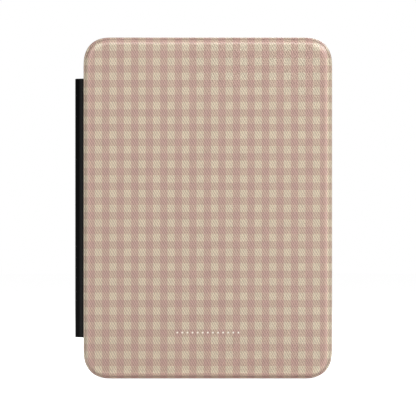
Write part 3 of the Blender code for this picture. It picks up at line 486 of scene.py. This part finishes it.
def black_leather():
    """The strap's thin black leather, finely pebbled, with a painted highlight by the cover's fold."""
    material, tree = new_material("black_leather")
    place = surface_place(tree)
    pebble_mm, wander_mm, wander_size_mm, pore_mm, pore_share, depth_mm = 0.75, 0.2, 0.8, 0.2, 0.3, 0.05
    # grey is the colour of a painted highlight, laid on by the cover's fold.
    between, on_top, grey = linear(2, 2, 2), linear(7, 7, 8), linear(38, 38, 39)
    cells = tree.nodes.new("ShaderNodeTexVoronoi")
    put(tree, cells.inputs["Vector"], wandering(tree, place, wander_mm, wander_size_mm))
    cells.inputs["Scale"].default_value = 1 / pebble_mm
    pebbles = maths(tree, "SUBTRACT", 1.0, cells.outputs["Distance"])
    height = maths(tree, "MULTIPLY_ADD", noise(tree, place, pore_mm), pore_share, pebbles)
    colour = mixed(tree, clamped(tree, pebbles), between, on_top)
    # Painted highlight: the leather turns grey near the cover's fold, where its bend faces the front
    # lights.
    run = parts_of(tree, place)[0]
    from_fold_highlight = maths(tree, "ABSOLUTE", maths(tree, "SUBTRACT", run, FOLD_HIGHLIGHT_RUN_MM))
    painted_fold_highlight = clamped(tree, maths(tree, "MULTIPLY_ADD", from_fold_highlight, -1 / FOLD_HIGHLIGHT_REACH_MM, 1.0))
    colour = mixed(tree, painted_fold_highlight, colour, grey)
    patch_mm, roughness, roughness_spread = 5.0, 0.42, 0.15
    shine = maths(tree, "MULTIPLY_ADD", noise(tree, place, patch_mm), roughness_spread, roughness)
    normal = raised(tree, height, depth_mm)
    return surface(material, colour, shine, normal=normal, Specular_IOR_Level=0.08)


def microfibre():
    """Short brushed fibres: no gloss, a soft bloom at grazing angles and faint brush marks."""
    colour = linear(50, 47, 48)
    nap = {"grain_mm": 0.45, "depth_mm": 0.09, "contrast": 0.7, "Sheen_Weight": 0.4}
    return mottled("microfibre", colour, 0.9, **nap)


def paper_screen():
    """An electronic-paper page: light grey, with lines of grey bars where text would be."""
    material, tree = new_material("paper_screen")
    place = body_place(tree)
    x, _, z = parts_of(tree, place)
    line_pitch, bar_share, word_pitch = 6.2, 0.34, 3.1
    margin, page_low, page_high, short_line = 42.0, -54.0, 66.0, 38.0
    missing_words, full_lines, below_page = 0.17, 0.8, 200.0
    line = maths(tree, "DIVIDE", maths(tree, "ADD", z, below_page), line_pitch)
    row = maths(tree, "FLOOR", line)
    in_bar = maths(tree, "LESS_THAN", maths(tree, "FRACT", line), bar_share)
    word = maths(tree, "FLOOR", maths(tree, "DIVIDE", x, word_pitch))
    seed = tree.nodes.new("ShaderNodeCombineXYZ")
    put(tree, seed.inputs[0], word)
    put(tree, seed.inputs[1], row)
    word_noise = tree.nodes.new("ShaderNodeTexWhiteNoise")
    put(tree, word_noise.inputs["Vector"], seed.outputs[0])
    in_word = maths(tree, "GREATER_THAN", word_noise.outputs["Value"], missing_words)
    row_noise = tree.nodes.new("ShaderNodeTexWhiteNoise")
    row_noise.noise_dimensions = "1D"
    put(tree, row_noise.inputs["W"], row)
    short = maths(tree, "GREATER_THAN", row_noise.outputs["Value"], full_lines)
    line_end = maths(tree, "MULTIPLY_ADD", short, -short_line, margin)
    ink = maths(tree, "MULTIPLY", in_bar, in_word)
    for operation, value, limit in (
        ("LESS_THAN", x, line_end),
        ("GREATER_THAN", x, -margin),
        ("LESS_THAN", z, page_high),
        ("GREATER_THAN", z, page_low),
    ):
        ink = maths(tree, "MULTIPLY", ink, maths(tree, operation, value, limit))
    paper = mixed(tree, noise(tree, place, 0.4), linear(199, 199, 193), linear(212, 212, 206))
    return surface(material, mixed(tree, ink, paper, linear(84, 84, 84)), 0.75)


def circuit_board():
    """Green solder mask with lighter copper tracks under it."""
    material, tree = new_material("circuit_board")
    place = body_place(tree)
    x, _, z = parts_of(tree, place)
    region_mm, track_pitch, track_share = 9.0, 0.9, 0.4
    sideways = maths(tree, "GREATER_THAN", noise(tree, place, region_mm, 0.0), 0.5)
    upwards = maths(tree, "SUBTRACT", 1.0, sideways)
    tracks = 0.0
    for across, region in ((z, sideways), (x, upwards)):
        stripes = maths(tree, "FRACT", maths(tree, "DIVIDE", across, track_pitch))
        copper = maths(tree, "LESS_THAN", stripes, track_share)
        tracks = maths(tree, "MULTIPLY_ADD", copper, region, tracks)
    colour = mixed(tree, tracks, linear(16, 74, 50), linear(40, 112, 74))
    return surface(material, colour, 0.38, normal=raised(tree, tracks, 0.03))


def see_through(name, tint, alpha, roughness):
    """A clear film or window, faintly hazy."""
    material, tree = new_material(name)
    haze_mm, roughness_spread, darker = 3.0, 0.1, 0.95
    haze = noise(tree, body_place(tree), haze_mm)
    shine = maths(tree, "MULTIPLY_ADD", haze, roughness_spread, roughness)
    colour = mixed(tree, haze, shaded(tint, darker), tint)
    return surface(material, colour, shine, Alpha=alpha)


def brushed(name, colour, roughness):
    """Rolled or brushed metal, with streaks along x."""
    return mottled(name, colour, roughness, 1.0, 0.3, 0.004, 0.08, stretch=(0.06, 1.0, 1.0))


def node_finishes():
    """The finish of each material slot, for nodes that keep their CAD shape."""
    return {
        "greyboard": mottled("greyboard", linear(142, 136, 124), 0.9, grain_mm=0.5, depth_mm=0.04),
        "foam": mottled("foam", linear(205, 205, 198), 0.95, grain_mm=0.6, depth_mm=0.15),
        "black_shell": moulded("black_shell_inside", 22),
        "reader_plastic": moulded("reader_plastic", 32),
        "bezel_black": mottled("bezel_black", linear(17, 17, 19), 0.4, grain_mm=0.5, depth_mm=0.002),
        "paper_white": paper_screen(),
        "steel": brushed("steel", linear(196, 196, 198), 0.32),
        "magnesium": mottled("magnesium", linear(172, 174, 176), 0.5, 1.0, grain_mm=0.7, depth_mm=0.02),
        "magnet": brushed("magnet", linear(178, 178, 182), 0.22),
        "battery_wrap": mottled("battery_wrap", linear(48, 49, 54), 0.35, grain_mm=1.5, depth_mm=0.05),
        "board_green": circuit_board(),
        "chip_black": mottled("chip_black", linear(34, 34, 36), 0.5, grain_mm=0.15, depth_mm=0.01),
        "flex_amber": mottled("flex_amber", linear(190, 118, 42), 0.3, grain_mm=0.8, depth_mm=0.01),
        "seal_rubber": mottled("seal_rubber", linear(36, 36, 37), 0.8, grain_mm=0.2, depth_mm=0.02),
        "tape_white": mottled("tape_white", linear(228, 228, 224), 0.6, grain_mm=0.3, depth_mm=0.01),
        "microfibre": microfibre(),
    }


def moulded(name, level):
    """Injection-moulded plastic with a fine spark-eroded texture."""
    colour = linear(level, level, level + 1)
    return mottled(name, colour, 0.5, grain_mm=0.22, depth_mm=0.02, contrast=0.2)


# The pieces.

def cover_skin(material):
    """The cover's printed skin: flat face, round edge, groove, bead and turned-in hem."""
    profile = [(EDGE_RADIUS + 1.5 * MM, COVER_TOP), (EDGE_RADIUS + 0.4 * MM, COVER_TOP)]
    profile += arc(EDGE_RADIUS, COVER_TOP - EDGE_RADIUS, EDGE_RADIUS, 90, EDGE_END_ANGLE, 10)
    profile += [GROOVE]
    profile += arc(BEAD_RADIUS, COVER_TOP - BEAD_DROP, BEAD_RADIUS, BEAD_START_ANGLE, 0, 10)
    underside = 0.5 * MM
    profile += arc(underside, COVER_BOTTOM + underside, underside, 0, -90, 5)
    profile += [(underside + MM, COVER_BOTTOM), (HEM_WIDTH, COVER_BOTTOM)]
    profile += [(HEM_WIDTH, COVER_BOTTOM + HEM_THICKNESS), (MM, COVER_BOTTOM + HEM_THICKNESS)]
    inside = ((1.0, 12.95), (1.6, 13.55), (2.6, 14.3), (3.2, 14.5))  # (inset, z) in mm, round the board
    profile += [(inset * MM, z * MM) for inset, z in inside]
    size = face_size("cover_skin", COVER_CORNER)
    skin = lofted("printed_cover_skin", size, profile, groove=GROOVE)
    stood_up(skin, material)
    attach(skin, "cover")
    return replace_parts(skin, "cover_skin")


def clear_sheet(name, node, corner, edge, alpha, roughness):
    """A clear layer over the screen. It has no back face, so light crosses only one surface of it."""
    low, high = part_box(node)
    front, back = -low.y, -high.y
    profile = [(edge, front), (0.0, front - edge), (0.0, back)]
    sheet = lofted(name, face_size(node, corner), profile, last_closed=False)
    sheet.data.transform(Matrix.Translation((0.0, (low.z + high.z) / 2, 0.0)))
    stood_up(sheet, see_through(name, CLEAR_TINT, alpha, roughness))
    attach(sheet, "tray")
    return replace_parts(sheet, node)


def cover_lining(material):
    """The microfibre panel inside the cover, cut out round the strap's flap."""
    low, high, soft = 10.8 * MM, 11.7 * MM, 0.3 * MM
    profile = [(1.5 * MM, low)] + arc(soft, low + soft, soft, -90, 0, 4) + [(0.0, high)]
    lining = lofted("cover_lining_panel", face_size("cover_lining", LINING_CORNER), profile)
    notch_end = FLAP_END_X + 0.5 * MM
    carved(lining, block((OUTSIDE_X, -NOTCH_HALF, 0.0), (notch_end, NOTCH_HALF, ABOVE_Z)))
    stood_up(lining, material)
    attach(lining, "cover")
    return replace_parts(lining, "cover_lining")


def tray_shell(material):
    """The moulded back tray, with its lip, the strap's recesses and the window over the ports."""
    back_round, lip_round, floor_round = 2.0 * MM, 0.3 * MM, 1.6 * MM
    wall, lip_inset, back_flat = 1.55 * MM, 2.8 * MM, 3.0 * MM
    lip_top, lip_bottom, inner_floor = 10.9 * MM, 10.1 * MM, 1.6 * MM
    profile = [(back_round + back_flat, 0.0)] + arc(back_round, back_round, back_round, -90, 0)
    profile += arc(lip_round, lip_top - lip_round, lip_round, 0, 90, 4)
    profile += [(lip_inset, lip_top), (lip_inset, lip_bottom), (wall, lip_bottom)]
    profile += arc(wall + floor_round, inner_floor + floor_round, floor_round, 0, -90)
    tray = lofted("moulded_tray", face_size("tray_shell", TRAY_CORNER), profile)
    lip_gap_end, lip_gap_half, lip_gap_low = -61.8 * MM, 69.2 * MM, 10.0 * MM
    carved(tray, block((OUTSIDE_X, -lip_gap_half, lip_gap_low), (lip_gap_end, lip_gap_half, ABOVE_Z)))
    recess_end, recess_depth = FLAP_END_X + 0.25 * MM, 0.9 * MM
    carved(tray, block((OUTSIDE_X, -NOTCH_HALF, BELOW_Z), (recess_end, NOTCH_HALF, recess_depth)))
    carved(tray, port_window_cutter())
    stood_up(tray, material)
    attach(tray, "tray")
    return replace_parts(tray, "tray_shell")


def port_window_cutter():
    """The window's shape: a round-cornered bar through the tray's lower wall, flared at its mouth."""
    width, height, corner, corner_steps, flare = 39.0 * MM, 7.0 * MM, 2.4 * MM, 8, 0.7 * MM
    centre_x, centre_z, wall_face = 11.5 * MM, 5.9 * MM, -90.2 * MM
    outside, inside = wall_face - 2 * MM, wall_face + 4 * MM
    rows = []
    for y, grow in ((outside, flare), (wall_face, flare), (wall_face + flare, 0.0), (inside, 0.0)):
        ring = outline(width + 2 * grow, height + 2 * grow, corner + grow, corner_steps, CIRCLE_POWER)
        rows.append([((centre_x + x, y, centre_z + z), NOWHERE) for x, z in ring])
    return skin_over("cutter", rows)


def strap_path(index):
    """One fold's share of the strap as (x, z, heading) points; the heading is in degrees from +x."""
    before, corner = 180.0 - FOLD_TURN * index, FOLDS[index]
    after = before - FOLD_TURN
    tangent = STRAP_BEND_RADIUS * math.tan(math.radians(FOLD_TURN / 2))
    start_x = corner[0] - tangent * math.cos(math.radians(before))
    start_z = corner[1] - tangent * math.sin(math.radians(before))
    centre_x = start_x + STRAP_BEND_RADIUS * math.sin(math.radians(before))
    centre_z = start_z - STRAP_BEND_RADIUS * math.cos(math.radians(before))
    steps = 10
    path = []
    for step in range(steps + 1):
        heading = before - FOLD_TURN * step / steps
        turned = math.radians(heading)
        x = centre_x - STRAP_BEND_RADIUS * math.sin(turned)
        z = centre_z + STRAP_BEND_RADIUS * math.cos(turned)
        path.append((x, z, heading))
    first = (FLAP_END_X, corner[1]) if index == 0 else midway(FOLDS[index - 1], corner)
    last = (FLAP_END_X, corner[1]) if index == len(FOLDS) - 1 else midway(corner, FOLDS[index + 1])
    return [(*first, before)] + path + [(*last, after)]


def bowed(z):
    """How far the leather stands out from its folded path, none at the flaps and most midway."""
    low, high = FOLDS[0][1], FOLDS[-1][1]
    off_middle = (2 * z - low - high) / (high - low)
    return STRAP_BOW * max(0.0, 1 - off_middle * off_middle)


def midway(a, b):
    """The point halfway between two."""
    return ((a[0] + b[0]) / 2, (a[1] + b[1]) / 2)


def strap_band(index, name, material, *nodes):
    """A stretch of the strap that bends about one fold, from the middle of one section to the next."""
    path = strap_path(index)
    edge_round, edge_steps = 0.35 * MM, 4
    section = outline(STRAP_LENGTH, STRAP_THICKNESS, edge_round, edge_steps, CIRCLE_POWER)
    loops = []
    flat_end, bend_start = path[0], path[1]
    to_bend = math.hypot(bend_start[0] - flat_end[0], bend_start[1] - flat_end[1])
    half_bend = STRAP_BEND_RADIUS * math.radians(FOLD_TURN) / 2
    run = BAND_RUN * index - to_bend - half_bend
    last = path[0]
    for x, z, heading in path:
        run += math.hypot(x - last[0], z - last[1])
        last = (x, z)
        x -= bowed(z)
        side = (-math.sin(math.radians(heading)), math.cos(math.radians(heading)))
        loops.append(
            [((x + n * side[0], y, z + n * side[1]), (run / MM, y / MM, n / MM)) for y, n in section]
        )
    band = stood_up(skin_over(name, loops), material)
    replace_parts(band, *nodes)
    bend_start, bend_end = path[1], path[-2]
    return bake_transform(band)


def stamped_dots():
    """A short row of small pale foil dots low on the cover."""
    material = mottled("foil", linear(248, 240, 230), 0.35, grain_mm=0.3, depth_mm=0.004, contrast=0.06)
    count, pitch, row_y = 13, 2.7 * MM, -66.0 * MM
    radius, height = 0.5 * MM, 0.05 * MM
    shape = bmesh.new()
    for index in range(count):
        x = (index - (count - 1) / 2) * pitch
        at = Matrix.Translation((x, row_y, COVER_TOP))
        bmesh.ops.create_cone(
            shape, cap_ends=True, segments=16, radius1=radius, radius2=radius, depth=height, matrix=at
        )
    mesh = bpy.data.meshes.new("stamped_dots")
    shape.to_mesh(mesh)
    shape.free()
    dots = bpy.data.objects.new("stamped_dots", mesh)
    bpy.context.scene.collection.objects.link(dots)
    stood_up(dots, material)
    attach(dots, "cover")
    return dots


def repaint_nodes():
    """Gives every node that keeps its CAD shape its finish."""
    finishes = node_finishes()
    own = {"status_light_pipe": see_through("light_pipe", CLEAR_TINT, 0.5, 0.2)}
    for entry in frame["record"]["subparts"]:
        node = frame["nodes"][entry["node"]]
        if node.hide_render:
            continue
        node.data.materials.clear()
        node.data.materials.append(own.get(entry["node"], finishes.get(entry["material_slot"])))


# The setting.

def floor():
    """A plain pale floor that the camera sees as white, and that throws little light back."""
    material, tree = new_material("floor")
    ray = tree.nodes.new("ShaderNodeLightPath")
    glow = maths(tree, "MULTIPLY", ray.outputs["Is Camera Ray"], FLOOR_GLOW)
    pale, white = (0.9, 0.9, 0.9, 1.0), (1.0, 1.0, 1.0, 1.0)
    surface(material, pale, 0.9, Emission_Color=white, Emission_Strength=glow)
    mesh = bpy.data.meshes.new("floor")
    signs = ((-1, -1), (1, -1), (1, 1), (-1, 1))
    mesh.from_pydata([(x * FLOOR_HALF, y * FLOOR_HALF, FLOOR_Z) for x, y in signs], [], [(0, 1, 2, 3)])
    mesh.materials.append(material)
    plane = bpy.data.objects.new("floor", mesh)
    bpy.context.scene.collection.objects.link(plane)


def softbox(name, place, size, power):
    """A rectangular area light that faces the case and isn't seen itself."""
    light = bpy.data.lights.new(name, "AREA")
    light.shape = "RECTANGLE"
    light.size, light.size_y = size
    light.energy = power
    lamp = bpy.data.objects.new(name, light)
    bpy.context.scene.collection.objects.link(lamp)
    lamp.location = place
    lamp.rotation_euler = Vector(place).to_track_quat("Z", "Y").to_euler()
    lamp.visible_camera = False


def surroundings():
    """A studio that is white to the camera and softer as a light."""
    world = bpy.data.worlds.new("studio")
    world.use_nodes = True
    bpy.context.scene.world = world
    tree = world.node_tree
    ray = tree.nodes.new("ShaderNodeLightPath")
    seen = ray.outputs["Is Camera Ray"]
    strength = maths(tree, "MULTIPLY_ADD", seen, 1 - WORLD_LIGHT, WORLD_LIGHT)
    put(tree, tree.nodes["Background"].inputs["Strength"], strength)
    put(tree, tree.nodes["Background"].inputs["Color"], (1.0, 1.0, 1.0, 1.0))


def camera():
    """Straight in front of the cover, level with its middle."""
    data = bpy.data.cameras.new("camera")
    data.sensor_fit = "HORIZONTAL"
    data.angle = 2 * math.atan(CAMERA_SPAN / 2 / CAMERA_DISTANCE)
    data.clip_start = 10 * MM
    eye = bpy.data.objects.new("camera", data)
    bpy.context.scene.collection.objects.link(eye)
    eye.location = (CAMERA_SIDE, -COVER_TOP - CAMERA_DISTANCE, 0.0)
    eye.rotation_euler = (math.pi / 2, 0.0, 0.0)
    bpy.context.scene.camera = eye


def build():
    """Every piece, then the setting."""
    leather = black_leather()
    cover_skin(check_leather())
    cover_lining(microfibre())
    tray_shell(moulded("black_shell", 24))
    strap_band(0, "strap_rear_bend", leather, "strap_rear_flap", "strap_lower_section")
    strap_band(1, "strap_lower_bend", leather, "strap_middle_section")
    strap_band(2, "strap_upper_bend", leather, "strap_upper_section")
    strap_band(3, "strap_front_bend", leather, "strap_front_flap")
    stamped_dots()
    for name, node, corner_mm, edge_mm, alpha, roughness in CLEAR_SHEETS:
        clear_sheet(name, node, corner_mm * MM, edge_mm * MM, alpha, roughness)
    repaint_nodes()
    floor()
    surroundings()
    for name, place, size, power in SOFTBOXES:
        softbox(name, place, size, power)
    camera()
    bpy.context.scene.view_settings.view_transform = "Standard"


build()
